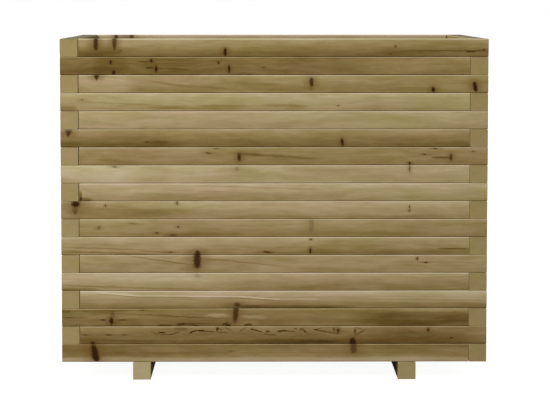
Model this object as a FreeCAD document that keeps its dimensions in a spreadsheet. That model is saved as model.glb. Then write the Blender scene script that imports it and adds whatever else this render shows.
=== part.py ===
import FreeCAD, Part
import os

import Sketcher

# Raised wooden planter. Eighteen courses of square battens lap at the corners, course about, and stand
# on two bearers. A slatted floor lies on the bearers inside the walls.
# Millimetres, +Z up, front towards -Y, origin on the ground under the middle of the planter.

DRIVING_SIZES = [
    ("batten_side", 38, "side of the square batten, used for the walls and the bearers"),
    ("arris_radius", 2, "rounding of the long edges of battens and slats"),
    ("planter_length", 900, "outside length along X"),
    ("planter_depth", 600, "outside depth along Y"),
    ("course_count", 18, "courses of battens in the walls"),
    ("butt_gap", 0.8, "gap between a batten's butt end and the batten that runs past it"),
    ("bearer_inset", 150, "from the planter's end to the outer side of a bearer"),
    ("slat_width", 90, "width of a floor slat"),
    ("slat_thickness", 20, "thickness of a floor slat"),
    ("least_drain_gap", 10, "least gap between floor slats, and between a slat and the wall"),
    ("slat_end_gap", 4, "gap between a slat's end and the side wall"),
    ("screw_shank", 5, "shank diameter of the wall and bearer screws"),
    ("screw_head", 9.5, "head diameter of the wall and bearer screws"),
    ("screw_tip_cover", 10.5, "wood left beyond the point of a wall or bearer screw"),
    ("corner_stagger", 8, "corner screw's distance from the middle of the lap, along its batten"),
    ("butt_screw", 24, "from a batten's butt end to its screw there"),
    ("middle_stagger", 30, "middle screw's distance from the middle of the wall"),
    ("floor_screw_shank", 4, "shank diameter of the floor screws"),
    ("floor_screw_head", 8, "head diameter of the floor screws"),
    ("floor_screw_tip_cover", 17.5, "wood left under the point of a floor screw"),
    ("floor_screw_spacing", 50, "between the two screws of a slat on a bearer"),
    ("head_sink", 0.5, "depth of a screw head below the face that it is driven into"),
    ("point_length", 6, "length of a screw's tapered point"),
    ("drive_socket", 2.6, "side of the square driving socket in a screw head"),
    ("socket_depth", 2, "depth of the driving socket"),
    ("hole_clearance", 0.1, "gap round a screw's shank, and past its point"),
]

# Sizes and places worked out from the driving ones, as expressions on the sheet
HALF_SIDE = "(Sizes.batten_side / 2)"
LONG_CUT = "(Sizes.planter_length - Sizes.batten_side - Sizes.butt_gap)"
SHORT_CUT = "(Sizes.planter_depth - Sizes.batten_side - Sizes.butt_gap)"
LEFT_END = "(-Sizes.planter_length / 2)"
RIGHT_END = "(Sizes.planter_length / 2)"
FRONT_END = "(-Sizes.planter_depth / 2)"
BACK_END = "(Sizes.planter_depth / 2)"
LEFT_WALL = f"({LEFT_END} + {HALF_SIDE})"
RIGHT_WALL = f"({RIGHT_END} - {HALF_SIDE})"
FRONT_WALL = f"({FRONT_END} + {HALF_SIDE})"
BACK_WALL = f"({BACK_END} - {HALF_SIDE})"
INNER_LENGTH = "(Sizes.planter_length - 2 * Sizes.batten_side)"
INNER_DEPTH = "(Sizes.planter_depth - 2 * Sizes.batten_side)"
BEARER_PLACE = f"(Sizes.bearer_inset + {HALF_SIDE})"
SLAT_LENGTH = f"({INNER_LENGTH} - 2 * Sizes.slat_end_gap)"
SLAT_ROOM = "(Sizes.slat_width + Sizes.least_drain_gap)"
SLAT_COUNT = f"floor(({INNER_DEPTH} - Sizes.least_drain_gap) / {SLAT_ROOM})"
DRAIN_GAP = f"(({INNER_DEPTH} - {SLAT_COUNT} * Sizes.slat_width) / ({SLAT_COUNT} + 1))"
WALL_SCREW_HOLD = "(Sizes.batten_side - Sizes.screw_tip_cover)"
WALL_SCREW_LENGTH = f"(Sizes.batten_side - Sizes.head_sink + {WALL_SCREW_HOLD})"
FLOOR_SCREW_HOLD = "(Sizes.batten_side - Sizes.floor_screw_tip_cover)"
FLOOR_SCREW_LENGTH = f"(Sizes.slat_thickness - Sizes.head_sink + {FLOOR_SCREW_HOLD})"

COUNTERSINK_ANGLE = 90


class SketchPoint:
    """How a sketch constraint names the points of its geometry."""

    start = 1
    end = 2
    centre = 3
    origin = (-1, 1)


doc = FreeCAD.newDocument("raised_planter")
sizes = doc.addObject("Spreadsheet::Sheet", "Sizes")
for row, (alias, value, meaning) in enumerate(DRIVING_SIZES, start=1):
    sizes.set(f"A{row}", meaning)
    sizes.set(f"B{row}", str(value))
    sizes.setAlias(f"B{row}", alias)
doc.recompute()


def number(expression):
    """The value of an expression on the sheet, in millimetres."""
    return float(sizes.evalExpression(expression))


def sketch_on(body, role, name):
    """An empty sketch on one of the body's own origin planes."""
    sketch = body.newObject("Sketcher::SketchObject", name)
    plane = next(item for item in body.Origin.OriginFeatures if item.Role == role)
    sketch.AttachmentSupport = [(plane, "")]
    sketch.MapMode = "FlatFace"
    return sketch


def bind(sketch, name, expression, kind, *where):
    """Adds a named dimension whose value follows the sheet."""
    index = sketch.addConstraint(Sketcher.Constraint(kind, *where, number(expression)))
    sketch.renameConstraint(index, name)
    sketch.setExpression(f"Constraints.{name}", expression)


def draw_polygon(sketch, corners):
    """A closed outline of straight lines from corner to corner. Returns the lines."""
    points = [FreeCAD.Vector(x, y, 0) for x, y in corners]
    lines = []
    for start, end in zip(points, points[1:] + points[:1]):
        lines.append(sketch.addGeometry(Part.LineSegment(start, end), False))
    for line, following in zip(lines, lines[1:] + lines[:1]):
        joint = (line, SketchPoint.end, following, SketchPoint.start)
        sketch.addConstraint(Sketcher.Constraint("Coincident", *joint))
    return lines


def draw_rectangle(sketch, width, height, centred):
    """A rectangle centred on the sketch's origin, or standing on it with the middle of its base."""
    half = number(width) / 2
    tall = number(height)
    low = -tall / 2 if centred else 0
    corners = [(-half, low), (half, low), (half, low + tall), (-half, low + tall)]
    base, right, upper, left = draw_polygon(sketch, corners)
    for line in (base, upper):
        sketch.addConstraint(Sketcher.Constraint("Horizontal", line))
    for line in (right, left):
        sketch.addConstraint(Sketcher.Constraint("Vertical", line))
    far_point = (upper, SketchPoint.start) if centred else (base, SketchPoint.end)
    pair = (base, SketchPoint.start, *far_point, *SketchPoint.origin)
    sketch.addConstraint(Sketcher.Constraint("Symmetric", *pair))
    bind(sketch, "width", width, "DistanceX", base, SketchPoint.start, base, SketchPoint.end)
    bind(sketch, "height", height, "DistanceY", right, SketchPoint.start, right, SketchPoint.end)


def draw_circles(sketch, places, diameter):
    """A circle at each (along, across) pair of expressions."""
    upright = FreeCAD.Vector(0, 0, 1)
    for index, (along, across) in enumerate(places):
        centre = FreeCAD.Vector(number(along), number(across), 0)
        circle = sketch.addGeometry(Part.Circle(centre, upright, number(diameter) / 2), False)
        ends = (*SketchPoint.origin, circle, SketchPoint.centre)
        bind(sketch, f"along_{index}", along, "DistanceX", *ends)
        bind(sketch, f"across_{index}", across, "DistanceY", *ends)
        bind(sketch, f"diameter_{index}", diameter, "Diameter", circle)


class ScrewKind:
    """A kind of countersunk wood screw: expressions for its shank, head, length and hold in the far piece."""

    def __init__(self, name, shank, head, length, hold):
        self.name = name
        self.shank = shank
        self.head = head
        self.length = length
        self.hold = hold
        self.hole = f"({shank} + 2 * Sizes.hole_clearance)"
        self.countersink = f"({head} + 2 * Sizes.head_sink)"

    def mark_places(self, body, name, places, face):
        """A sketch of the hole at each place, on a body's underside or at the height of its upper face."""
        sketch = sketch_on(body, "XY_Plane", f"{name}_places")
        sketch.setExpression("AttachmentOffset.Base.z", face)
        draw_circles(sketch, places, self.hole)
        return sketch

    def drill_through(self, body, places, face, upwards):
        """Countersunk holes right through a piece, driven in from the given face."""
        name = f"{body.Label}_screw_holes"
        sketch = self.mark_places(body, name, places, face)
        doc.recompute()
        hole = body.newObject("PartDesign::Hole", name)
        hole.Profile = sketch
        hole.Reversed = upwards
        hole.DepthType = "ThroughAll"
        hole.setExpression("Diameter", self.hole)
        hole.HoleCutType = "Countersink"
        hole.HoleCutCustomValues = True
        hole.HoleCutCountersinkAngle = COUNTERSINK_ANGLE
        hole.setExpression("HoleCutDiameter", self.countersink)

    def drill_pilots(self, body, places, face, upwards):
        """Blind holes for the screws' points, which come in through the given face."""
        name = f"{body.Label}_pilots"
        sketch = self.mark_places(body, name, places, face)
        pocket = body.newObject("PartDesign::Pocket", name)
        pocket.Profile = sketch
        pocket.Reversed = upwards
        pocket.setExpression("Length", f"{self.hold} + Sizes.hole_clearance")

    def make_screw(self):
        """One screw, standing on its head with its point up, with a square driving socket."""
        body = doc.addObject("PartDesign::Body", self.name)
        profile = sketch_on(body, "XZ_Plane", f"{self.name}_profile")
        self.draw_profile(profile)
        turned = body.newObject("PartDesign::Revolution", f"{self.name}_turned")
        turned.Profile = profile
        turned.ReferenceAxis = (profile, ["V_Axis"])
        turned.Angle = 360
        outline = sketch_on(body, "XY_Plane", f"{self.name}_socket_outline")
        draw_rectangle(outline, "Sizes.drive_socket", "Sizes.drive_socket", centred=True)
        socket = body.newObject("PartDesign::Pocket", f"{self.name}_socket")
        socket.Profile = outline
        socket.Reversed = True
        socket.setExpression("Length", "Sizes.socket_depth")
        doc.recompute()
        return body

    def draw_profile(self, sketch):
        """Half of the screw's outline, from the middle of its head round to its point."""
        shank_radius = number(self.shank) / 2
        head_radius = number(self.head) / 2
        tip = number(self.length)
        shoulder = head_radius - shank_radius
        taper_start = tip - number("Sizes.point_length")
        corners = [(0, 0), (head_radius, 0), (shank_radius, shoulder), (shank_radius, taper_start), (0, tip)]
        face, cone, side, taper, axis = draw_polygon(sketch, corners)
        start, end = SketchPoint.start, SketchPoint.end
        sketch.addConstraint(Sketcher.Constraint("Coincident", face, start, *SketchPoint.origin))
        sketch.addConstraint(Sketcher.Constraint("Horizontal", face))
        sketch.addConstraint(Sketcher.Constraint("Vertical", side))
        sketch.addConstraint(Sketcher.Constraint("Vertical", axis))
        bind(sketch, "head_radius", f"{self.head} / 2", "DistanceX", face, start, face, end)
        bind(sketch, "shank_radius", f"{self.shank} / 2", "DistanceX", axis, end, cone, end)
        bind(sketch, "shoulder", f"({self.head} - {self.shank}) / 2", "DistanceY", cone, start, cone, end)
        bind(sketch, "point", "Sizes.point_length", "DistanceY", taper, start, taper, end)
        bind(sketch, "length", self.length, "DistanceY", axis, end, axis, start)


WALL_SCREW = ScrewKind(
    "wall_screw", "Sizes.screw_shank", "Sizes.screw_head", WALL_SCREW_LENGTH, WALL_SCREW_HOLD
)
FLOOR_SCREW = ScrewKind(
    "floor_screw", "Sizes.floor_screw_shank", "Sizes.floor_screw_head", FLOOR_SCREW_LENGTH, FLOOR_SCREW_HOLD
)


def make_stick(label, length, width, thickness):
    """A length of timber along +X from the origin, lying on the XY plane, with its long edges rounded."""
    body = doc.addObject("PartDesign::Body", label)
    body.Label = label
    section = sketch_on(body, "YZ_Plane", f"{label}_section")
    draw_rectangle(section, width, thickness, centred=False)
    pad = body.newObject("PartDesign::Pad", f"{label}_cut")
    pad.Profile = section
    pad.setExpression("Length", length)
    doc.recompute()
    half_length = number(length) / 2
    long_edges = [
        f"Edge{index}"
        for index, edge in enumerate(pad.Shape.Edges, start=1)
        if edge.BoundBox.XLength > half_length
    ]
    arrises = body.newObject("PartDesign::Fillet", f"{label}_arrises")
    arrises.Base = (pad, long_edges)
    arrises.setExpression("Radius", "Sizes.arris_radius")
    return body


def place(body, x, y, z, turn):
    """Puts a piece at three expressions, turned about the vertical by some degrees."""
    upright = FreeCAD.Vector(0, 0, 1)
    body.Placement = FreeCAD.Placement(FreeCAD.Vector(), FreeCAD.Rotation(upright, turn))
    body.setExpression("Placement.Base.x", x)
    body.setExpression("Placement.Base.y", y)
    body.setExpression("Placement.Base.z", z)


class Wall:
    """One wall: the length of its battens, and where the through end of an odd and an even course lies.

    A through end is its X, its Y, the batten's turn, and the side across the batten, +1 or -1, that
    faces the inside. The front and back walls are long: they stand on the bearers and have middle screws.
    """

    def __init__(self, name, is_long, odd_end, even_end):
        self.name = name
        self.is_long = is_long
        self.through_ends = (even_end, odd_end)
        self.length = LONG_CUT if is_long else SHORT_CUT

    def own_screws(self):
        """Screws driven up through a batten, measured from its through end."""
        places = [
            (f"{HALF_SIDE} + Sizes.corner_stagger", "0"),
            (f"{self.length} - Sizes.butt_screw", "0"),
        ]
        if self.is_long:
            places.append(("Sizes.planter_length / 2 + Sizes.middle_stagger", "0"))
        return places

    def screws_from_below(self, course, inward):
        """Screws that reach into a batten from the course below it, or from the bearers."""
        if course == 1:
            bearer_places = [BEARER_PLACE, f"Sizes.planter_length - {BEARER_PLACE}"]
            return [(along, "0") for along in bearer_places if self.is_long]
        places = [
            (HALF_SIDE, f"{inward} * Sizes.corner_stagger"),
            ("Sizes.batten_side + Sizes.butt_gap + Sizes.butt_screw", "0"),
        ]
        if self.is_long:
            places.append(("Sizes.planter_length / 2 - Sizes.middle_stagger", "0"))
        return places

    def make_batten(self, course, is_top):
        """One batten with its screw holes, and the seats of its own screws. The top course has no seats."""
        x, y, turn, inward = self.through_ends[course % 2]
        label = f"{self.name}_batten_{course:02d}"
        body = make_stick(label, self.length, "Sizes.batten_side", "Sizes.batten_side")
        place(body, x, y, f"Sizes.batten_side * {course}", turn)
        pilots = self.screws_from_below(course, inward)
        if pilots:
            WALL_SCREW.drill_pilots(body, pilots, "0", upwards=True)
        seats = [] if is_top else self.own_screws()
        if seats:
            WALL_SCREW.drill_through(body, seats, "0", upwards=True)
        return body, seats


WALLS = [
    Wall("front", True, (LEFT_END, FRONT_WALL, 0, 1), (RIGHT_END, FRONT_WALL, 180, -1)),
    Wall("back", True, (RIGHT_END, BACK_WALL, 180, 1), (LEFT_END, BACK_WALL, 0, -1)),
    Wall("left", False, (LEFT_WALL, BACK_END, -90, 1), (LEFT_WALL, FRONT_END, 90, -1)),
    Wall("right", False, (RIGHT_WALL, FRONT_END, 90, 1), (RIGHT_WALL, BACK_END, -90, -1)),
]


def make_walls():
    """Every course of the four walls. A front or back batten stands alone, the two side ones are a pair."""
    groups = []
    seated = []
    top_course = int(number("Sizes.course_count"))
    for course in range(1, top_course + 1):
        made = [wall.make_batten(course, course == top_course) for wall in WALLS]
        front, back, left, right = [body for body, seats in made]
        sides = doc.addObject("Part::Compound", f"side_battens_{course:02d}")
        sides.Links = [left, right]
        groups += [front, back, sides]
        seated += made
    return groups, seated


def slat_middle(index):
    """Y of the middle of a floor slat, counted from the front."""
    return f"(-{INNER_DEPTH} / 2 + ({index} + 1) * {DRAIN_GAP} + ({index} + 0.5) * Sizes.slat_width)"


def screw_pair():
    """The two screws of a slat on a bearer, from the slat's middle."""
    return [f"({side} * Sizes.floor_screw_spacing / 2)" for side in (-1, 1)]


def make_bearers(slat_count):
    """Two bearers under the walls and the floor, flush with the front and the back."""
    seats = [(HALF_SIDE, "0"), (f"Sizes.planter_depth - {HALF_SIDE}", "0")]
    floor_places = []
    for index in range(slat_count):
        for offset in screw_pair():
            floor_places.append((f"{BACK_END} + {slat_middle(index)} + {offset}", "0"))
    middles = {
        "left_bearer": f"{LEFT_END} + {BEARER_PLACE}",
        "right_bearer": f"{RIGHT_END} - {BEARER_PLACE}",
    }
    bearers = []
    for label, x in middles.items():
        body = make_stick(label, "Sizes.planter_depth", "Sizes.batten_side", "Sizes.batten_side")
        place(body, x, FRONT_END, "0", 90)
        FLOOR_SCREW.drill_pilots(body, floor_places, "Sizes.batten_side", upwards=False)
        WALL_SCREW.drill_through(body, seats, "0", upwards=True)
        bearers.append(body)
    return bearers, [(body, seats) for body in bearers]


def make_floor(slat_count):
    """Slats across the bearers, with drainage gaps between them, as one group."""
    near_bearer = f"({BEARER_PLACE} - Sizes.batten_side - Sizes.slat_end_gap)"
    far_bearer = f"({SLAT_LENGTH} - {near_bearer})"
    seats = [(along, offset) for along in (near_bearer, far_bearer) for offset in screw_pair()]
    slats = []
    for index in range(slat_count):
        label = f"floor_slat_{index + 1}"
        body = make_stick(label, SLAT_LENGTH, "Sizes.slat_width", "Sizes.slat_thickness")
        place(body, f"-{SLAT_LENGTH} / 2", slat_middle(index), "Sizes.batten_side", 0)
        FLOOR_SCREW.drill_through(body, seats, "Sizes.slat_thickness", upwards=False)
        slats.append(body)
    floor = doc.addObject("Part::Compound", "floor_slats")
    floor.Links = slats
    return floor, [(body, seats) for body in slats]


def drive_screws(label, screw, seated, face, points_up):
    """A group of like screws, one in each seat of the pieces that they are driven through."""
    sink = number("Sizes.head_sink")
    height = number(face) + (sink if points_up else -sink)
    turn = FreeCAD.Rotation(FreeCAD.Vector(1, 0, 0), 0 if points_up else 180)
    driven = []
    for piece, seats in seated:
        for along, across in seats:
            seat = FreeCAD.Placement(FreeCAD.Vector(number(along), number(across), height), turn)
            copy = screw.Shape.copy()
            copy.Placement = piece.Placement.multiply(seat)
            driven.append(copy)
    group = doc.addObject("Part::Feature", label)
    group.Label = label
    group.Shape = Part.makeCompound(driven)
    return group


slat_count = int(number(SLAT_COUNT))
battens, seated_battens = make_walls()
bearers, seated_bearers = make_bearers(slat_count)
floor, seated_slats = make_floor(slat_count)
doc.recompute()
wall_screw = WALL_SCREW.make_screw()
floor_screw = FLOOR_SCREW.make_screw()
screws = [
    drive_screws("course_screws", wall_screw, seated_battens, "0", points_up=True),
    drive_screws("bearer_screws", wall_screw, seated_bearers, "0", points_up=True),
    drive_screws("floor_screws", floor_screw, seated_slats, "Sizes.slat_thickness", points_up=False),
]

for item in doc.Objects:
    if "Invalid" in item.State or "Error" in item.State:
        raise RuntimeError(f"{item.Label} failed: {item.State}")
pieces = battens + bearers + [floor] + screws
for piece in pieces:
    if piece.Shape.isNull() or not piece.Shape.isValid():
        raise RuntimeError(f"{piece.Label} has no valid shape")
os.makedirs("parts", exist_ok=True)
for piece in pieces:
    piece.Shape.exportStep(f"parts/{piece.Label}.step")
    print(f"{piece.Label}: {len(piece.Shape.Solids)} solids, {piece.Shape.Volume / 1000:.1f} cm3")
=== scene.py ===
import math
import random
from functools import cache
from typing import NamedTuple

import bpy
import numpy as np
from mathutils import Matrix, Vector


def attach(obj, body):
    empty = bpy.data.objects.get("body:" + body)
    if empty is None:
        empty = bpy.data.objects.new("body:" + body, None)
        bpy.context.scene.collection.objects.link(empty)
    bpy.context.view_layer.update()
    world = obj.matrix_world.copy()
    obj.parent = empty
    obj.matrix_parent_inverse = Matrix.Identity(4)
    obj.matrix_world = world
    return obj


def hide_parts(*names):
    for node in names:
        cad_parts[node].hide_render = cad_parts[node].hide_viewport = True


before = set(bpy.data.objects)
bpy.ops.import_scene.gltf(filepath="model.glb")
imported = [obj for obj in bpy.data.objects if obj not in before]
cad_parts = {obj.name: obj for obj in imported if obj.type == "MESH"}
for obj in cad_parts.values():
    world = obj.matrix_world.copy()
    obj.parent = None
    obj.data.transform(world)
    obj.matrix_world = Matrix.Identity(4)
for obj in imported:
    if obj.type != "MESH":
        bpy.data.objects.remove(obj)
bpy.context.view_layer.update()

bl_info = {
    "name": "Raised wooden planter",
    "version": (1, 0, 0),
    "blender": (4, 5, 0),
    "location": "View3D > Sidebar > Planter",
    "description": "Planed, treated pine battens in lapped courses on two bearers, with a slatted floor",
    "category": "Object",
}

BODY = "root"
MM = 0.001
COURSES = 18
SHARP_EDGE = math.radians(35)


# Node trees

class Wire:
    """A node's output. Python's operators on it add Math nodes to its tree."""

    def __init__(self, sheet, socket):
        self.sheet = sheet
        self.socket = socket

    def out(self, name):
        """Another output of the same node."""
        return Wire(self.sheet, self.socket.node.outputs[name])

    def math(self, operation, first, second=None):
        """A Math node on one or two values."""
        sockets = {0: first} if second is None else {0: first, 1: second}
        return self.sheet.node("ShaderNodeMath", {"operation": operation}, sockets)

    def __add__(self, other):
        return self.math("ADD", self, other)

    def __radd__(self, other):
        return self.math("ADD", other, self)

    def __sub__(self, other):
        return self.math("SUBTRACT", self, other)

    def __rsub__(self, other):
        return self.math("SUBTRACT", other, self)

    def __mul__(self, other):
        return self.math("MULTIPLY", self, other)

    def __rmul__(self, other):
        return self.math("MULTIPLY", other, self)

    def __truediv__(self, other):
        return self.math("DIVIDE", self, other)

    def __rtruediv__(self, other):
        return self.math("DIVIDE", other, self)

    def __abs__(self):
        return self.math("ABSOLUTE", self)

    def __gt__(self, other):
        return self.math("GREATER_THAN", self, other)

    def floor(self):
        return self.math("FLOOR", self)

    def root(self):
        return self.math("SQRT", self)

    def most(self, other):
        return self.math("MAXIMUM", self, other)

    def least(self, other):
        return self.math("MINIMUM", self, other)

    def rise(self, start, end):
        """0 below start, 1 above end, and a smooth step between them."""
        settings = {"interpolation_type": "SMOOTHSTEP"}
        sockets = {"Value": self, "From Min": start, "From Max": end}
        return self.sheet.node("ShaderNodeMapRange", settings, sockets)


class Sheet:
    """A node tree under construction."""

    def __init__(self, tree):
        self.tree = tree

    def node(self, kind, settings=None, sockets=None, output=0):
        """Adds a node, sets its settings, then its sockets by name or number, and gives one output."""
        made = self.tree.nodes.new(kind)
        for name, value in (settings or {}).items():
            if name == "stops":
                self.set_stops(made.color_ramp, value)
            else:
                setattr(made, name, value)
        for key, value in (sockets or {}).items():
            self.feed(made.inputs[key], value)
        return Wire(self, made.outputs[output]) if made.outputs else made

    def feed(self, socket, value):
        """Links a wire to an input, or sets the input's own value."""
        if isinstance(value, Wire):
            self.tree.links.new(value.socket, socket)
        else:
            socket.default_value = value

    def set_stops(self, ramp, stops):
        """Gives a colour ramp its stops, each a place and a colour."""
        while len(ramp.elements) < len(stops):
            ramp.elements.new(1.0)
        for element, (place, colour) in zip(ramp.elements, stops):
            element.position = place
            element.color = colour

    def mix(self, amount, first, second, blend="MIX"):
        """A mix of two colours."""
        settings = {"data_type": "RGBA", "blend_type": blend, "clamp_factor": True}
        return self.node("ShaderNodeMix", settings, {0: amount, 6: first, 7: second}, output=2)

    def vector(self, x, y, z):
        """A vector of three values."""
        return self.node("ShaderNodeCombineXYZ", None, {"X": x, "Y": y, "Z": z})

    def noise(self, place, detail=2.0, roughness=0.5, scale=1.0, output=0):
        """Smooth noise from 0 to 1. Scale is the number of blots in a unit of the place."""
        sockets = {"Vector": place, "Scale": scale, "Detail": detail, "Roughness": roughness}
        return self.node("ShaderNodeTexNoise", {"noise_dimensions": "3D"}, sockets, output)


def new_group(name, kind, inputs, outputs):
    """An empty node group, from each socket's name and kind. Returns its sheet and its inputs' wires."""
    tree = bpy.data.node_groups.new(name, kind)
    for direction, sockets in (("INPUT", inputs), ("OUTPUT", outputs)):
        for label, socket in sockets.items():
            tree.interface.new_socket(label, in_out=direction, socket_type=f"NodeSocket{socket}")
    sheet = Sheet(tree)
    entry = tree.nodes.new("NodeGroupInput")
    wires = {label: Wire(sheet, entry.outputs[label]) for label in inputs}
    return sheet, wires


def close_group(sheet, results):
    """Ends a node group with its results, by output name."""
    leave = sheet.tree.nodes.new("NodeGroupOutput")
    for label, wire in results.items():
        sheet.feed(leave.inputs[label], wire)
    return sheet.tree


def numbers(*names):
    """Sockets of a node group that each take a number."""
    return {name: "Float" for name in names}


def new_material(name):
    """An empty material, and the sheet of its nodes."""
    material = bpy.data.materials.new(name)
    material.use_nodes = True
    material.node_tree.nodes.clear()
    return material, Sheet(material.node_tree)


# Colours, as seen in soft daylight

def linear(red, green, blue):
    """A colour given in 0 to 255 as linear light, with full opacity."""
    parts = []
    for part in (red, green, blue):
        share = part / 255
        parts.append(share / 12.92 if share <= 0.04045 else ((share + 0.055) / 1.055) ** 2.4)
    return (*parts, 1.0)


PINE_STOPS = (
    (0.0, linear(52, 36, 8)),
    (0.25, linear(102, 80, 39)),
    (0.5, linear(136, 116, 73)),
    (0.75, linear(165, 148, 110)),
    (1.0, linear(193, 180, 150)),
)
PINK_TINT = (1.04, 0.965, 1.05, 1.0)
GREEN_TINT = (0.955, 1.01, 0.83, 1.0)
HALO_COLOUR = linear(100, 70, 28)
KNOT_COLOUR = linear(70, 44, 10)
HEART_COLOUR = linear(42, 24, 3)
# Grey of the painted shade on the side walls' top faces
PAINTED_TOP_SHADE_COLOUR = linear(92, 88, 68)
BRIGHT_ZINC = linear(196, 172, 112)
DULL_ZINC = linear(150, 138, 110)


# Marks in the wood, in millimetres: along from the planter's middle, up from the stick's own middle

END_LIGHT = 0.58


class Knot(NamedTuple):
    """A branch cut through by the saw. Taper above 0 makes it wider at the top."""

    along: float
    up: float
    half_length: float
    half_height: float
    strength: float = 1.0
    taper: float = 0.0
    lean: float = 0.0


class Streak(NamedTuple):
    """A lighter or darker run of grain, or a soft stain. Slope is its rise for each millimetre along."""

    along: float
    up: float
    half_length: float
    half_height: float
    shade: float
    slope: float = 0.0
    softness: float = 0.8


class Wood(NamedTuple):
    """How one stick grew and was soaked: tone, heart, rings, marks, ends, wavy streaks; and a painted grey
    shade on its top face.
    """

    light: float
    warmth: float = 0.0
    fall: float = 0.1
    heart: tuple = (40.0, 0.0)
    ring: float = 4.0
    figure: float = 1.0
    knots: tuple = ()
    streaks: tuple = ()
    end_light: float = END_LIGHT
    painted_top_shade: float = 0.0
    wave: float = 3.0


def labels(mark):
    """Names of the inputs through which a node group takes a kind of mark."""
    return [f"{mark.__name__} {field}" for field in mark._fields]


# Form of a knot, in its own half sizes, and the half heights in millimetres where it turns straight sided

KNOT_WAIST = 0.12
STRAIGHT_SIDED = (8, 14)
RAGGED_ALONG, RAGGED_UP = 0.35, 0.22
BODY_FADES, BODY_RAGGED = (0.45, 1.3), 0.9
HALO_FADES, HALO_RAGGED = (0.35, 1.75), 0.3
HALO_STRETCH, HALO_RISE = 2.6, 0.7
BEND_FADES, BEND_CORE, BEND_REACH = (0.4, 3.0), 0.6, 0.35


def knot_group():
    """Adds a knot to the masks and the grain's bend that are passed through it."""
    outputs = numbers("Bend", "Halo", "Body")
    inputs = numbers("Along", "Up", "Seed", *outputs, *labels(Knot))
    sheet, read = new_group("pine knot", "ShaderNodeTree", inputs, outputs)
    knot = Knot(*(read[label] for label in labels(Knot)))
    rise = (read["Up"] - knot.up) / knot.half_height
    run = (read["Along"] - knot.along - knot.lean * rise) / knot.half_length
    out = run / (1 + knot.taper * rise).most(KNOT_WAIST)
    tall = knot.half_height.rise(*STRAIGHT_SIDED)
    reach = (out * out + rise * rise * (1 - tall + tall * rise * rise)).root()
    rough_place = sheet.vector(read["Along"] * RAGGED_ALONG, read["Up"] * RAGGED_UP, read["Seed"])
    rough = sheet.noise(rough_place) - 0.5
    body = (1 - (reach + rough * BODY_RAGGED).rise(*BODY_FADES)) * knot.strength
    long_run = run / HALO_STRETCH
    flow = (long_run * long_run + rise * rise * HALO_RISE).root()
    halo = (1 - (flow + rough * HALO_RAGGED).rise(*HALO_FADES)) * knot.strength
    side = rise / (reach * reach + BEND_CORE)
    bend = side * (1 - flow.rise(*BEND_FADES)) * knot.half_height * BEND_REACH
    return close_group(sheet, {
        "Bend": read["Bend"] + bend,
        "Halo": read["Halo"].most(halo),
        "Body": read["Body"].most(body),
    })


def streak_group():
    """Adds a streak's shade to the shade that is passed through it."""
    inputs = numbers("Along", "Up", "Shade", *labels(Streak))
    sheet, read = new_group("pine streak", "ShaderNodeTree", inputs, numbers("Shade"))
    streak = Streak(*(read[label] for label in labels(Streak)))
    run = read["Along"] - streak.along
    rise = (read["Up"] - streak.up - streak.slope * run) / streak.half_height
    length = run / streak.half_length
    reach = (length * length * length * length + rise * rise).root()
    mask = 1 - reach.rise(1 - streak.softness, 1 + streak.softness)
    return close_group(sheet, {"Shade": read["Shade"] + mask * streak.shade})


class Layer(NamedTuple):
    """A noise in the wood: its blots for each millimetre along, across and up, and its share of the seed."""

    along: float
    across: float
    up: float
    seed: float
    detail: float = 2.0
    roughness: float = 0.5


RIPPLE = Layer(0.012, 0.05, 0.05, 1)
SWAY = Layer(0.008, 0.01, 0.0, 1.9)
FIBRE = Layer(0.018, 0.8, 0.8, 1, 3.0, 0.65)
SOAK = Layer(0.008, 0.04, 0.06, 5, 3.0, 0.6)
VEIN = Layer(0.005, 0.12, 0.15, 3, 2.0, 0.45)
BLOTCH = Layer(0.026, 0.05, 0.11, 7)
PATCH = Layer(0.006, 0.02, 0.035, 9, 1.0)

# The heart's drift along a stick, and how far the noises push the rings and the grain, in millimetres

DRIFT_ALONG, DRIFT_SEED = 0.0024, 3.7
DRIFT_ACROSS, DRIFT_UP = 20, 30
RIPPLE_REACH, SWAY_REACH = 3, 26

# A year's growth: where its late wood builds up and where it stops, and the weakest year's share

LATE_WOOD_BUILDS, LATE_WOOD_STOPS = (0.25, 0.8), (0.82, 1.0)
WEAKEST_YEAR, YEAR_SEED = 0.25, 17

# Places on a stick, in millimetres from its middle, and for end grain from its end

HALF_SIDE = 19
END_GRAIN = (-0.9, -0.3)
# Bands of painted light: a highlight along a face's top arris, and shade along its foot arris
PAINTED_EDGE_ACROSS, PAINTED_HIGHLIGHT_UP, PAINTED_FOOT_SHADE_UP = (15.5, 17.2), (16.7, 18.2), (17.0, 18.6)
# Band of the painted grey shade on a stick's top face
PAINTED_TOP_SHADE_UP = (17.6, 18.6)

# How strongly each thing shows: in tone, in warmth, in the colours of a knot, in roughness and in relief

RING_TONE, FIBRE_TONE, VEIN_TONE, SOAK_TONE, BLOTCH_TONE = 0.03, 0.04, 0.13, 0.36, 0.17
PAINTED_HIGHLIGHT_TONE, PAINTED_FOOT_SHADE_TONE, END_TONE, END_FIGURE = 0.28, 0.2, 0.9, 0.25
PATCH_WARMTH, SOAK_WARMTH, SHADE_WARMTH, END_WARMTH = 2.8, 1.4, 1.2, 0.35
HALO_COVER, HEART_COVER, HEART_FADES = 0.5, 0.8, (0.75, 1.0)
PLANED_ROUGHNESS, RING_GLOSS, KNOT_GLOSS, FIBRE_DULLS = 0.72, 0.1, 0.2, 0.2
RING_RELIEF, FIBRE_RELIEF, KNOT_RELIEF, TORN_RELIEF = 0.5, 0.8, 0.5, 1.2


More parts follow.
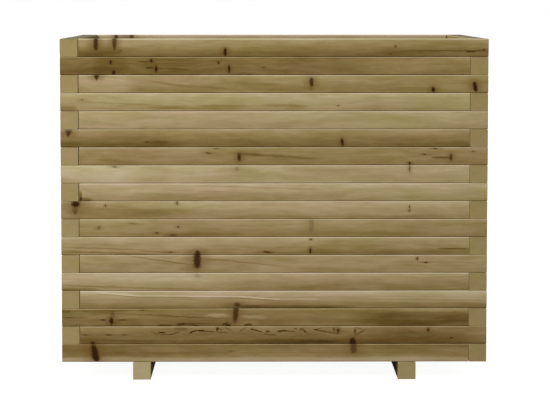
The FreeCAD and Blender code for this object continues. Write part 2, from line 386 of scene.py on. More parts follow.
def pine_group():
    """Treated pine: year rings about a wandering heart, fibres, soaked stains and knots, with a painted
    highlight along each face's top arris, painted shade along its foot arris and painted grey shade on top
    faces, for a shader.
    """
    inputs = numbers(
        "Along", "Across", "Up", "Seed", "Light", "Warmth", "Fall", "Heart Across", "Heart Up", "Ring",
        "Figure", "Middle Along", "Half Length", "End Light", "Painted Top Shade", "Bend", "Halo", "Body", "Shade",
    )
    outputs = {"Colour": "Color", "Roughness": "Float", "Height": "Float"}
    sheet, read = new_group("treated pine", "ShaderNodeTree", inputs, outputs)
    along, across, up, seed = read["Along"], read["Across"], read["Up"], read["Seed"]
    bend, knots, shade = read["Bend"], read["Body"], read["Shade"]

    def spread(layer, level):
        """A layer's noise at a level in the stick, from -0.5 to 0.5."""
        place = sheet.vector(along * layer.along, across * layer.across, level * layer.up + seed * layer.seed)
        return sheet.noise(place, layer.detail, layer.roughness) - 0.5

    drifting = sheet.noise(sheet.vector(along * DRIFT_ALONG, seed * DRIFT_SEED, seed), 1.0, output="Color")
    drift = sheet.node("ShaderNodeSeparateColor", None, {0: drifting})
    from_heart_across = across - read["Heart Across"] - (drift - 0.5) * DRIFT_ACROSS
    from_heart_up = up - read["Heart Up"] - (drift.out(1) - 0.5) * DRIFT_UP - bend
    distance = (from_heart_across * from_heart_across + from_heart_up * from_heart_up).root()
    years = (distance + spread(RIPPLE, up) * RIPPLE_REACH) / read["Ring"]
    year = years.floor()
    season = years - year
    late_wood = season.rise(*LATE_WOOD_BUILDS) * (1 - season.rise(*LATE_WOOD_STOPS))
    vigour = sheet.node("ShaderNodeTexWhiteNoise", {"noise_dimensions": "1D"}, {"W": year + seed * YEAR_SEED})
    rings = late_wood * (WEAKEST_YEAR + (1 - WEAKEST_YEAR) * vigour)

    level = up + spread(SWAY, up) * SWAY_REACH - bend
    fibre, soak, vein, blotch = (spread(layer, level) for layer in (FIBRE, SOAK, VEIN, BLOTCH))
    at_end = (abs(along - read["Middle Along"]) - read["Half Length"]).rise(*END_GRAIN)
    side_grain = 1 - at_end
    # Painted light: a highlight along the top arris of each face, and shade along its foot arris
    arris = abs(across).rise(*PAINTED_EDGE_ACROSS)
    painted_top_highlight = up.rise(*PAINTED_HIGHLIGHT_UP) * arris
    painted_foot_shade = (0 - up).rise(*PAINTED_FOOT_SHADE_UP) * arris
    figure = read["Figure"] * (END_FIGURE + (1 - END_FIGURE) * side_grain)
    stains = vein * VEIN_TONE + soak * SOAK_TONE + blotch * BLOTCH_TONE - rings * RING_TONE
    light = read["Light"] + (read["Fall"] * up / HALF_SIDE + shade) * side_grain
    light = light + stains * figure + fibre * FIBRE_TONE
    light = light + painted_top_highlight * PAINTED_HIGHLIGHT_TONE - painted_foot_shade * PAINTED_FOOT_SHADE_TONE
    light = light + at_end * (read["End Light"] - read["Light"]) * END_TONE
    pine = sheet.node("ShaderNodeValToRGB", {"stops": PINE_STOPS}, {"Fac": light})

    warmth = read["Warmth"] + spread(PATCH, up) * PATCH_WARMTH + soak * SOAK_WARMTH
    warmth = warmth + shade * SHADE_WARMTH - at_end * END_WARMTH
    tinted = sheet.mix(warmth.least(1.0), pine, PINK_TINT, "MULTIPLY")
    tinted = sheet.mix((0 - warmth).least(1.0), tinted, GREEN_TINT, "MULTIPLY")
    halo = sheet.mix(read["Halo"] * HALO_COVER * side_grain, tinted, HALO_COLOUR)
    body = sheet.mix(knots * side_grain, halo, KNOT_COLOUR)
    heart = sheet.mix(knots.rise(*HEART_FADES) * HEART_COVER * side_grain, body, HEART_COLOUR)
    # Painted shade: greys the top face by the stick's share of it
    with_painted_top_shade = sheet.mix(read["Painted Top Shade"] * up.rise(*PAINTED_TOP_SHADE_UP), heart, PAINTED_TOP_SHADE_COLOUR)
    roughness = PLANED_ROUGHNESS - rings * RING_GLOSS - knots * KNOT_GLOSS + fibre * FIBRE_DULLS
    height = rings * RING_RELIEF + fibre * FIBRE_RELIEF + knots * KNOT_RELIEF + shade.least(0.0) * TORN_RELIEF
    return close_group(sheet, {"Colour": with_painted_top_shade, "Roughness": roughness, "Height": height})


# Materials

STREAK_WAVES_ALONG, STREAK_WAVES_UP = 0.07, 0.06
RELIEF_STRENGTH, RELIEF_DEPTH = 0.3, 0.25 * MM
PINE_SPECULAR = 0.04
ZINC_CLOUDS, ZINC_SPECKS = 420.0, 1900.0
DULLED = (0.35, 0.7)
ZINC_ROUGHNESS, CLOUD_DULLS, SPECK_DULLS = 0.32, 0.25, 0.1


def group_node(sheet, tree, sockets):
    """Puts a node group into a material."""
    return sheet.node("ShaderNodeGroup", {"node_tree": tree}, sockets)


def pine_material(name, groups, wood, middle, half_length, lies_along_y, seed):
    """One stick's own timber. Its grain runs along X, or along Y, through the stick's middle."""
    material, sheet = new_material(name)
    turn = -math.pi / 2 if lies_along_y else 0.0
    centre = Matrix.Rotation(turn, 3, "Z") @ Vector(middle) / MM
    coordinates = sheet.node("ShaderNodeTexCoord", None, None, "Object")
    grain = sheet.node("ShaderNodeMapping", {"vector_type": "POINT"}, {
        "Vector": coordinates, "Location": (0, -centre.y, -centre.z), "Rotation": (0, 0, turn),
        "Scale": (1 / MM, 1 / MM, 1 / MM),
    })
    along = sheet.node("ShaderNodeSeparateXYZ", None, {0: grain})
    up = along.out("Z")
    masks = {"Bend": 0.0, "Halo": 0.0, "Body": 0.0}
    for knot in wood.knots:
        place = {"Along": along, "Up": up, "Seed": seed}
        made = group_node(sheet, groups["knot"], {**place, **masks, **dict(zip(labels(Knot), knot))})
        masks = {label: made.out(label) for label in masks}
    waves = sheet.noise(sheet.vector(along * STREAK_WAVES_ALONG, up * STREAK_WAVES_UP, seed)) - 0.5
    wavy_up = up + waves * wood.wave
    shade = 0.0
    for streak in wood.streaks:
        place = {"Along": along, "Up": wavy_up, "Shade": shade}
        shade = group_node(sheet, groups["streak"], {**place, **dict(zip(labels(Streak), streak))})
    pine = group_node(sheet, groups["pine"], {
        "Along": along, "Across": along.out("Y"), "Up": up, "Seed": seed,
        "Light": wood.light, "Warmth": wood.warmth, "Fall": wood.fall, "Figure": wood.figure,
        "Heart Across": wood.heart[0], "Heart Up": wood.heart[1], "Ring": wood.ring,
        "Middle Along": centre.x, "Half Length": half_length / MM,
        "End Light": wood.end_light, "Painted Top Shade": wood.painted_top_shade, "Shade": shade, **masks,
    })
    relief = sheet.node("ShaderNodeBump", None, {
        "Strength": RELIEF_STRENGTH, "Distance": RELIEF_DEPTH, "Height": pine.out("Height"),
    })
    shader = sheet.node("ShaderNodeBsdfPrincipled", None, {
        "Base Color": pine, "Roughness": pine.out("Roughness"), "Normal": relief,
        "Specular IOR Level": PINE_SPECULAR,
    })
    sheet.node("ShaderNodeOutputMaterial", None, {"Surface": shader})
    return material


def steel_material(name):
    """Yellow zinc plated steel, a little dulled."""
    material, sheet = new_material(name)
    coordinates = sheet.node("ShaderNodeTexCoord", None, None, "Object")
    cloud = sheet.noise(coordinates, 3.0, scale=ZINC_CLOUDS)
    speck = sheet.noise(coordinates, 2.0, scale=ZINC_SPECKS)
    plate = sheet.mix(cloud.rise(*DULLED), BRIGHT_ZINC, DULL_ZINC)
    shader = sheet.node("ShaderNodeBsdfPrincipled", None, {
        "Base Color": plate, "Metallic": 1.0,
        "Roughness": ZINC_ROUGHNESS + cloud * CLOUD_DULLS + speck * SPECK_DULLS,
    })
    sheet.node("ShaderNodeOutputMaterial", None, {"Surface": shader})
    return material


# Geometry trees

ARRIS_FACETS = 4
BOW_WAVES = 2.3
SEAT_SIDES, SEAT_TIP, SEAT_MOUTH = 20, 0.02, 2
SCREW_SIDES, POINT_TAPER = 12, 0.92


def cut(sheet, body, cutter):
    """A body less the cutter's shape."""
    settings = {"operation": "DIFFERENCE", "solver": "EXACT"}
    return sheet.node("GeometryNodeMeshBoolean", settings, {"Mesh 1": body, "Mesh 2": cutter})


def at_seats(sheet, read, thing):
    """A thing at each screw's seat, turned over where screws are driven from above."""
    flip = sheet.vector(read["From Above"] * math.pi, 0.0, 0.0)
    return sheet.node("GeometryNodeInstanceOnPoints", None, {
        "Points": read["Seats"], "Instance": thing, "Rotation": flip,
    })


def finished(sheet, read, geometry):
    """The end of a geometry tree: real meshes, with their material."""
    real = sheet.node("GeometryNodeRealizeInstances", None, {"Geometry": geometry})
    return sheet.node("GeometryNodeSetMaterial", None, {"Geometry": real, "Material": read["Material"]})


def stick_tree():
    """A planed stick along +X: rounded long edges, eased ends, a slight bow, and a countersink at each seat.

    The tree's own geometry holds the screw seats, as points on the face that the screws are driven into.
    """
    inputs = {
        "Seats": "Geometry", "Sections": "Int", "From Above": "Bool", "Material": "Material",
        **numbers("Length", "Width", "Thickness", "Arris", "End Ease", "Bow", "Seed", "Head Radius"),
    }
    sheet, read = new_group("planed stick", "GeometryNodeTree", inputs, {"Stick": "Geometry"})
    length, ease = read["Length"], read["End Ease"]
    line = sheet.node("GeometryNodeCurvePrimitiveLine", None, {"Start": (0, 0, 0), "End": (1, 0, 0)})
    points = sheet.node("GeometryNodeResampleCurve", {"mode": "COUNT"}, {
        "Curve": line, "Count": read["Sections"],
    })
    index = sheet.node("GeometryNodeInputIndex")
    # The first and last sections are the sawn ends, and their neighbours stand one ease in from them
    step = (length - 2 * ease) / (read["Sections"] - 3)
    place = (ease + (index - 1) * step).most(0.0).least(length)
    at_end = 1 - ((place > ease * 0.5) * (length - ease * 0.5 > place))
    sway = sheet.noise(sheet.vector(place * BOW_WAVES, read["Seed"], 0.0), 1.0)
    bent = sheet.node("GeometryNodeSetPosition", None, {
        "Geometry": points, "Position": sheet.vector(place, sway * read["Bow"], 0.0),
    })
    upright = sheet.node("GeometryNodeSetCurveNormal", {"mode": "Z_UP"}, {"Curve": bent})
    section = sheet.node("GeometryNodeCurvePrimitiveQuadrilateral", {"mode": "RECTANGLE"}, {
        "Width": read["Width"], "Height": read["Thickness"],
    })
    rounded = sheet.node("GeometryNodeFilletCurve", {"mode": "POLY"}, {
        "Curve": section, "Count": ARRIS_FACETS, "Radius": read["Arris"],
    })
    size = 1 - at_end * ease / (read["Thickness"] / 2)
    swept = sheet.node("GeometryNodeCurveToMesh", None, {
        "Curve": upright, "Profile Curve": rounded, "Scale": size, "Fill Caps": True,
    })
    head = read["Head Radius"]
    cutter = sheet.node("GeometryNodeMeshCone", {"fill_type": "NGON"}, {
        "Vertices": SEAT_SIDES, "Radius Top": head * SEAT_TIP, "Radius Bottom": head * SEAT_MOUTH,
        "Depth": head * (SEAT_MOUTH - SEAT_TIP),
    })
    sunk = sheet.node("GeometryNodeTransform", None, {
        "Geometry": cutter, "Translation": sheet.vector(0.0, 0.0, 0 - head),
    })
    drilled = cut(sheet, swept, at_seats(sheet, read, sunk))
    return close_group(sheet, {"Stick": finished(sheet, read, drilled)})


def screw_tree():
    """A countersunk screw with a square driving socket, at each seat."""
    inputs = {
        "Seats": "Geometry", "From Above": "Bool", "Material": "Material",
        **numbers("Length", "Head Radius", "Shank Radius", "Point Length", "Socket", "Socket Depth"),
    }
    sheet, read = new_group("countersunk screws", "GeometryNodeTree", inputs, {"Screws": "Geometry"})
    head, shank = read["Head Radius"], read["Shank Radius"]
    line = sheet.node("GeometryNodeCurvePrimitiveLine", None, {"Start": (0, 0, 0), "End": (0, 0, 1)})
    points = sheet.node("GeometryNodeResampleCurve", {"mode": "COUNT"}, {"Curve": line, "Count": 4})
    index = sheet.node("GeometryNodeInputIndex")
    # The axis has four points: the head's face, the end of its cone, the start of the point and the tip
    past_head, past_cone, past_shank = index > 0.5, index > 1.5, index > 2.5
    cone = head - shank
    rise = past_head * cone + past_cone * (read["Length"] - read["Point Length"] - cone)
    rise = rise + past_shank * read["Point Length"]
    radius = head - past_head * cone - past_shank * (shank * POINT_TAPER)
    axis = sheet.node("GeometryNodeSetPosition", None, {
        "Geometry": points, "Position": sheet.vector(0.0, 0.0, rise),
    })
    ring = sheet.node("GeometryNodeCurvePrimitiveCircle", {"mode": "RADIUS"}, {
        "Resolution": SCREW_SIDES, "Radius": 1.0,
    })
    turned = sheet.node("GeometryNodeCurveToMesh", None, {
        "Curve": axis, "Profile Curve": ring, "Scale": radius, "Fill Caps": True,
    })
    bit = sheet.node("GeometryNodeMeshCube", None, {
        "Size": sheet.vector(read["Socket"], read["Socket"], read["Socket Depth"] * 2),
    })
    driven = at_seats(sheet, read, cut(sheet, turned, bit))
    return close_group(sheet, {"Screws": finished(sheet, read, driven)})


def grow(name, tree, points, values):
    """Runs a geometry tree on a cloud of points, and gives the result as a plain mesh."""
    cloud = bpy.data.meshes.new(f"{name}_seats")
    cloud.from_pydata([tuple(point) for point in points], [], [])
    carrier = bpy.data.objects.new(f"{name}_carrier", cloud)
    bpy.context.scene.collection.objects.link(carrier)
    modifier = carrier.modifiers.new("maker", "NODES")
    modifier.node_group = tree
    for item in tree.interface.items_tree:
        if item.item_type == "SOCKET" and item.in_out == "INPUT" and item.name in values:
            modifier[item.identifier] = values[item.name]
    evaluated = carrier.evaluated_get(bpy.context.evaluated_depsgraph_get())
    mesh = bpy.data.meshes.new_from_object(evaluated)
    carrier.modifiers.remove(modifier)
    bpy.data.objects.remove(carrier)
    bpy.data.meshes.remove(cloud)
    mesh.name = name
    return mesh


def put(name, mesh, node):
    """Makes a piece of a mesh that is already in place, standing for a CAD node."""
    mesh.shade_smooth()
    mesh.set_sharp_from_angle(angle=SHARP_EDGE)
    piece = bpy.data.objects.new(name, mesh)
    bpy.context.scene.collection.objects.link(piece)
    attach(piece, BODY)
    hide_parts(node)


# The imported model

SAME_PLACE_DIGITS = 6


class Solid(NamedTuple):
    """A separate solid of a CAD node: its lowest and highest corners, in metres."""

    low: Vector
    high: Vector

    @property
    def middle(self):
        return (self.low + self.high) / 2

    @property
    def size(self):
        return self.high - self.low


def solids_of(node):
    """The separate solids of a CAD node, told apart by which triangles share corners."""
    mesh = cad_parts[node].data
    places = np.empty(len(mesh.vertices) * 3)
    mesh.vertices.foreach_get("co", places)
    places = places.reshape(-1, 3)
    mesh.calc_loop_triangles()
    triangles = np.empty(len(mesh.loop_triangles) * 3, dtype=np.int64)
    mesh.loop_triangles.foreach_get("vertices", triangles)
    corners, shared = np.unique(np.round(places, SAME_PLACE_DIGITS), axis=0, return_inverse=True)
    triangles = shared.reshape(-1)[triangles].reshape(-1, 3)
    owners = np.arange(len(corners))
    while True:
        before = owners.copy()
        lowest = owners[triangles].min(axis=1)
        for corner in range(3):
            np.minimum.at(owners, triangles[:, corner], lowest)
        owners = owners[owners]
        if np.array_equal(before, owners):
            break
    found = []
    for owner in np.unique(owners[triangles]):
        own = corners[owners == owner]
        found.append(Solid(Vector(own.min(axis=0)), Vector(own.max(axis=0))))
    return found


def screw_seats(node, from_above):
    """Where the heads of a node's screws lie, on the screws' own axes."""
    seats = []
    for solid in solids_of(node):
        middle = solid.middle
        seats.append(Vector((middle.x, middle.y, solid.high.z if from_above else solid.low.z)))
    return seats


# Torn grain near the top of the second course from the foot: dashes and loops left by the plane

TORN_GRAIN = (
    Streak(-254, 5, 8, 1.0, -0.2, -0.37), Streak(-238, 6, 7, 1.3, -0.53), Streak(-234, 2, 15, 1.0, -0.2),
    Streak(-211, 4, 11, 1.1, -0.28, 0.24), Streak(-199, 14, 14, 3.5, -0.15),
    Streak(-171, 8, 8, 1.4, -0.53, 0.29), Streak(-155, 10.5, 7, 1.5, -0.53),
    Streak(-139, 8, 12, 1.1, -0.25), Streak(-121, 13, 2.6, 3.2, -0.38),
    Streak(-116, 14, 6, 1.1, -0.25, -0.3), Streak(-109, 7, 9, 1.0, -0.2),
    Streak(-97, 13, 8, 1.1, -0.25, -0.48), Streak(-66, 13, 7, 1.2, -0.28, 0.55),
    Streak(-48, 13, 3.5, 1.7, -0.38), Streak(-38, 10, 9, 1.4, -0.4, -0.15),
    Streak(-33, 8.5, 8, 1.2, -0.33, -0.15), Streak(-14, 8.5, 5, 1.4, -0.53),
    Streak(-9, 1.6, 12, 1.1, -0.25, -0.1), Streak(18, 9, 12, 1.5, -0.53, 0.06),
    Streak(37, 7.6, 8, 1.1, -0.33), Streak(45, 14, 3, 1.4, -0.33), Streak(57, 13, 4, 1.5, -0.38, 0.4),
    Streak(64, 10, 4, 1.5, -0.35, -0.5), Streak(70, 5, 8, 1.0, -0.18, -0.3),
    Streak(91, 13, 7, 1.2, -0.33, 0.3), Streak(100, 9, 16, 1.2, -0.33, -0.17),
    Streak(127, 4, 11, 1.1, -0.25, -0.2), Streak(114, 16, 17, 1.0, -0.22), Streak(126, 13, 2.4, 3.4, -0.3),
    Streak(171, 9, 2.6, 4.6, -0.3), Streak(178, 14, 8, 1.1, -0.25, -0.3),
    Streak(182, 6, 11, 1.2, -0.3, 0.5),
)


# What each front batten shows, from the top course down

FRONT_WOODS = {
    18: Wood(0.5, -0.1, 0.2, (36, 62), 3.2, knots=(
        Knot(-374, 10, 5.4, 17, 0.9), Knot(-335, 10, 5.2, 16, 0.84, 0.3), Knot(-323, -6, 3, 1.6, 0.6),
        Knot(-103, -9, 4, 9.5, 1.0), Knot(254, 3, 2, 3.4, 0.7), Knot(244, -13, 2.4, 2.4, 0.6),
        Knot(440, -4.5, 4, 2.6, 0.8),
    ), streaks=(
        Streak(-360, 0, 34, 30, -0.08), Streak(352, -6, 88, 1.3, -0.14), Streak(330, 4, 130, 16, -0.03),
        Streak(412, -7.5, 10, 1.7, -0.24), Streak(429, -5.5, 10, 1.2, -0.16, 0.1),
    )),
    17: Wood(0.34, 0.0, 0.04, (34, -48), 3.4, knots=(
        Knot(-343, 8, 3.4, 5.5), Knot(-337, -14, 4.4, 6), Knot(-258, 11, 3, 4.6), Knot(-248, -6, 3.6, 8),
        Knot(-117, 7, 2.2, 3.3), Knot(-95, -6, 2.8, 9.5), Knot(-23, -3, 4, 1.8, 0.6),
    ), streaks=(
        Streak(-345, 0, 34, 24, -0.1), Streak(-268, 9, 16, 1.3, -0.2), Streak(-215, 13, 40, 1.2, -0.12),
        Streak(-262, -4, 8, 1.6, -0.26), Streak(-215, -6, 40, 1.6, -0.14, -0.02),
        Streak(330, 0, 150, 26, 0.18), Streak(-100, -4, 40, 14, -0.05), Streak(0, 0, 150, 26, 0.06),
    )),
    16: Wood(0.57, -0.1, 0.08, (42, 40), 3.0, knots=(
        Knot(-373, 14, 5.5, 7, 0.9, 0.8), Knot(78, 4, 5, 11, 0.88), Knot(78, -11, 2.5, 2, 0.5),
        Knot(334, -12, 4.4, 7), Knot(422, -6, 5, 12, 1.0, 0.0, -2),
    ), streaks=(
        Streak(-360, -4, 60, 14, 0.16), Streak(375, -6, 34, 5, 0.1), Streak(100, -11, 170, 6, -0.06),
        Streak(-220, 0, 50, 2.2, -0.1, -0.15), Streak(-150, -6, 60, 2, -0.08, -0.08),
        Streak(-40, 2, 70, 3, -0.08, -0.06), Streak(320, 2, 120, 24, -0.05),
    )),
    15: Wood(0.7, -0.1, 0.1, (45, -50), 3.6, knots=(
        Knot(-404, 5, 3.5, 1.6, 0.5), Knot(134, -7, 2.2, 1.5, 0.7),
    ), streaks=(
        Streak(-104, -8, 50, 2.6, -0.16), Streak(23, -7, 45, 2.4, -0.16, -0.03),
        Streak(-300, -4, 120, 1.5, -0.1, -0.05), Streak(-438, -14, 22, 6, -0.18),
        Streak(-150, -13.5, 90, 1.2, -0.14), Streak(-230, -11, 36, 1.8, -0.18),
    )),
    14: Wood(0.69, 0.05, 0.04, (52, 55), 3.0),
    13: Wood(0.48, 0.0, 0.17, (38, 60), 3.0, knots=(
        Knot(-433, 10, 6, 9, 0.86, 0.9, 1), Knot(-268, -8, 4.5, 1.8, 0.8),
        Knot(143, -8, 3.6, 9.5, 1.0, 0, -1.5),
    ), streaks=(
        Streak(-248, -7, 24, 3, -0.12), Streak(-440, -4, 30, 16, -0.06), Streak(-290, 0, 140, 24, -0.04),
    )),
    12: Wood(0.54, 0.05, 0.05, (44, -38), 3.2, knots=(
        Knot(-139, 7, 5, 2.2, 0.7, 0, -3), Knot(-123, 16, 7, 1.2, 0.7), Knot(-74, -2, 4.5, 10, 0.9),
        Knot(372, -2, 4.2, 8, 0.82), Knot(285, -15, 3, 3.4), Knot(339, 16, 5, 1.4), Knot(316, 4, 4, 1.2),
        Knot(419, 10, 2.6, 1.5, 0.8),
    ), streaks=(
        Streak(0, 1, 76, 2.4, -0.18, -0.06), Streak(-55, 5, 24, 5, -0.12), Streak(350, -3, 18, 2.4, -0.3),
        Streak(-20, 0, 120, 24, -0.05), Streak(-330, -8, 40, 9, -0.06), Streak(300, 0, 60, 3, -0.07, 0.08),
    )),
    11: Wood(0.76, 0.1, 0.04, (50, 48), 3.4, knots=(
        Knot(-336, 16, 6, 2.4, 0.6), Knot(-79, 12, 5, 5, 0.3), Knot(285, 12, 2.5, 8, 0.6, 0.3),
    ), streaks=(
        Streak(60, 8, 170, 5, -0.08), Streak(-80, 4, 40, 14, -0.05), Streak(-380, 0, 90, 24, 0.08),
        Streak(200, -8, 200, 8, -0.06), Streak(300, 0, 140, 24, -0.03),
    )),
    10: Wood(0.71, 0.0, 0.12, (40, -46), 3.4, streaks=(
        Streak(-409, -9, 4, 11, -0.34, 0, 0.5), Streak(-398, -16, 14, 5, -0.24),
        Streak(-30, 10, 130, 1.2, -0.12, -0.03), Streak(-100, -9, 230, 6, -0.07),
        Streak(-170, 3, 80, 1.0, -0.1, -0.03),
    )),
    9: Wood(0.68, 0.05, 0.1, (46, 52), 3.0, knots=(
        Knot(-419, 13, 10.5, 9, 1.0, 0.2), Knot(-420, -1, 6.5, 9, 0.6, 0.5), Knot(-356, 10, 1.8, 3, 0.7),
        Knot(-205, 15, 2.5, 4, 0.7), Knot(285, 7, 1.2, 3.4, 0.8), Knot(285, -1, 1.6, 3, 0.8),
    ), streaks=(
        Streak(-240, 10, 60, 6, 0.1), Streak(-320, 0, 130, 24, -0.16), Streak(100, -14, 260, 4, -0.07),
        Streak(-330, -2, 90, 8, -0.06),
    )),
    8: Wood(0.575, -0.1, 0.08, (48, -44), 3.0, knots=(
        Knot(-370, 1, 3.5, 4.5, 0.5), Knot(-298, 10, 9, 2, 0.45, 0, -6), Knot(-248, -10, 4, 2.5, 0.7),
        Knot(-203, 3, 3, 3, 0.6), Knot(-214, -15, 10, 3, 0.6), Knot(78, 6, 6, 14, 0.3),
    ), streaks=(
        Streak(-130, -12, 60, 4, -0.1), Streak(120, -10, 200, 7, -0.05),
    )),
    7: Wood(0.62, -0.1, 0.12, (42, 36), 4.0, knots=(
        Knot(-162, -16, 7.5, 9, 0.9, -0.4), Knot(-14, -13, 9, 2.8, 0.85, 0, -6), Knot(76, -10, 2.5, 7),
        Knot(77, 14, 2.4, 2.6, 0.8), Knot(-219, -13, 6, 1.8, 0.7),
    ), streaks=(
        Streak(379, -6, 30, 1.6, -0.3), Streak(-360, -5, 80, 1.5, -0.14, -0.03),
        Streak(-360, -14, 90, 2, -0.16, -0.03), Streak(-235, -12, 50, 1.4, -0.12, -0.04),
        Streak(230, -13, 160, 5, -0.1), Streak(110, -6, 30, 12, -0.08), Streak(-330, 0, 120, 26, 0.03),
        Streak(300, 0, 160, 26, -0.04), Streak(-178, 5, 46, 11, 0.08),
    )),
    6: Wood(0.64, 0.0, 0.03, (46, 34), 3.2, knots=(
        Knot(-163, 8, 9.2, 19, 0.92), Knot(302, 11, 1.6, 3.8), Knot(320, 3, 5, 1.7),
    ), streaks=(
        Streak(-236, 7, 62, 1.2, -0.22, -0.145), Streak(-60, 3, 90, 1.3, -0.12, -0.1),
        Streak(-120, 10, 30, 2.2, -0.12), Streak(-180, -8, 26, 8, -0.08), Streak(360, 3, 60, 1, -0.08),
        Streak(-320, 0, 120, 24, -0.04),
    )),
    5: Wood(0.68, 0.05, 0.1, (50, -48), 3.2, knots=(
        Knot(-163, 13, 8, 5, 0.25),
    ), streaks=(
        Streak(220, -6, 270, 16, -0.13), Streak(-310, -12, 140, 1.3, -0.12, -0.03),
        Streak(-420, -17, 40, 3, -0.25), Streak(-300, 8, 160, 12, 0.08),
    )),
    4: Wood(0.63, 0.0, 0.22, (38, 40), 4.2, knots=(
        Knot(-79, -11, 8, 6, 0.8), Knot(-52, -14, 26, 3.5, 0.45),
    ), streaks=(
        Streak(-332, 12, 44, 1.3, 0.26, -0.08), Streak(-332, 9.4, 44, 1.0, -0.16, -0.08),
        Streak(-180, 7.4, 120, 1.3, 0.26, -0.012), Streak(-180, 4.8, 120, 1.0, -0.16, -0.012),
        Streak(-35, 3.5, 42, 1.3, 0.26, -0.07), Streak(-35, 0.9, 42, 1.0, -0.16, -0.07),
        Streak(45, 1, 50, 1.2, 0.22), Streak(300, 4, 150, 1.4, 0.12, -0.02), Streak(320, -4, 150, 1.2, 0.1),
        Streak(180, 6, 100, 1.1, -0.12), Streak(30, -16, 120, 3.2, -0.22),
    ), wave=1.6),
    3: Wood(0.42, 0.0, 0.04, (40, -36), 3.4, knots=(
        Knot(-345, -7, 5.3, 9), Knot(-342, 7, 5, 8, 0.45), Knot(-362, -5, 7, 1.8, 0.9),
        Knot(-322, -5, 11, 1.6, 0.8), Knot(-436, 0, 12, 1.2, 0.7), Knot(-279, 16, 4, 1.3, 0.8),
        Knot(-199, -15, 12, 2.2, 0.8), Knot(-82, 8, 6.6, 21, 0.85, 0.15, 1.5),
        Knot(-165, -13, 30, 1.2, 0.5),
    ), streaks=(
        Streak(-119, 5, 28, 3.2, 0.2), Streak(-46, 1.5, 27, 3.6, 0.18, -0.06),
        Streak(320, -4, 130, 16, -0.16), Streak(340, 15, 90, 3, 0.16),
        Streak(-240, 4, 130, 1.2, -0.16, -0.05), Streak(-60, -12, 26, 6, 0.1),
        Streak(-380, 14, 60, 1.2, -0.16), Streak(120, -14, 90, 3, 0.1), Streak(-232, -16.5, 15, 1.4, -0.3),
        Streak(-442, 13, 12, 3, -0.14), Streak(-197, -14, 9, 1.3, -0.35),
        Streak(-175, -15, 15, 1.2, -0.25, -0.14), Streak(-104, -13, 6, 1.4, -0.35, 0.5),
        Streak(-98, -16, 5, 1.8, -0.5), Streak(-56, -15.5, 9, 1.6, -0.45),
    ), wave=5.0),
    2: Wood(0.42, 0.0, 0.1, (36, 44), 3.4, knots=(
        Knot(-400, 1, 6, 1.3, 0.8), Knot(-351, 1, 8, 1.4, 0.9), Knot(-317, 1, 6, 1.6, 0.6),
        Knot(135, 10, 3, 5.5, 0.9), Knot(166, -15, 8.4, 11, 1.0, -0.2), Knot(326, 11, 3, 5, 0.9),
        Knot(375, -6, 4, 1.3), Knot(-385, -16, 6, 4, 0.9),
    ), streaks=(
        Streak(60, -14, 90, 5, -0.12), Streak(-100, -13, 300, 4, -0.08), Streak(300, -4, 110, 24, -0.1),
        *TORN_GRAIN,
    ), wave=6.0),
    1: Wood(0.44, 0.0, -0.1, (44, -52), 3.4, knots=(
        Knot(-380, 0, 9, 21, 0.98, -0.2, -4), Knot(-91, 4.5, 7, 1.5, 0.6), Knot(168, 12, 7.6, 14, 0.74),
    ), streaks=(
        Streak(0, -14, 900, 5, 0.2), Streak(150, 0, 300, 26, 0.05), Streak(-290, 0, 70, 6, -0.1),
        Streak(0, 0, 300, 1.2, -0.07),
    )),
}


# The other sticks that the front view shows

RIM_WOODS = {
    "back": Wood(0.74, 0.5, 0.04, (44, 46), 3.2, knots=(
        Knot(-369, 14, 5.4, 9, 0.85), Knot(-333, 14, 7, 9, 0.8), Knot(-349, 14, 12, 9, 0.4),
    )),
    # Painted shade: the left rim batten is toned darker than the right one, and both have painted grey shade
    # on their top faces, heavier on the left
    "left": Wood(0.42, -0.2, 0.02, (44, -40), 3.2, end_light=0.62, painted_top_shade=0.75),
    "right": Wood(0.5, -0.2, 0.04, (44, 38), 3.4, end_light=0.59, painted_top_shade=0.5),
}
BEARER_WOODS = {
    "left_bearer": Wood(0.66, 0.0, 0.02, (40, 42), 3.2, end_light=0.82),
    "right_bearer": Wood(0.54, -0.3, 0.02, (46, -38), 3.0, end_light=0.66),
}


def random_wood(draw, end_light=END_LIGHT):
    """A batten from the same stack, with marks of its own."""
    knots = []
    for _ in range(draw.choice((0, 1, 2, 3, 4, 5))):
        knots.append(Knot(
            along=draw.uniform(-400, 400), up=draw.uniform(-17, 17),
            half_length=draw.uniform(1.8, 5.5), half_height=draw.uniform(2, 12),
            strength=draw.uniform(0.5, 1.0), taper=draw.uniform(-0.5, 0.8), lean=draw.uniform(-2, 2),
        ))
    streaks = []
    for _ in range(draw.choice((2, 3, 4))):
        streaks.append(Streak(
            along=draw.uniform(-400, 400), up=draw.uniform(-16, 16),
            half_length=draw.uniform(30, 220), half_height=draw.uniform(1.2, 9),
            shade=draw.uniform(-0.16, 0.1), slope=draw.uniform(-0.06, 0.06),
        ))
    heart_across = draw.uniform(34, 54) * draw.choice((-1, 1))
    heart_up = draw.uniform(28, 60) * draw.choice((-1, 1))
    return Wood(
        light=draw.uniform(0.42, 0.76), warmth=draw.uniform(-0.2, 0.2), fall=draw.uniform(-0.04, 0.16),
        heart=(heart_across, heart_up), ring=draw.uniform(2.8, 4.2),
        knots=tuple(knots), streaks=tuple(streaks), end_light=end_light,
    )


# Sticks

FRONT, BACK, LEFT, RIGHT = 0, 180, -90, 90
LEAST_SECTIONS, SECTION_LENGTH = 12, 0.02
BOW_SEED = 7.31
SEAT_REACH = 1.0 * MM


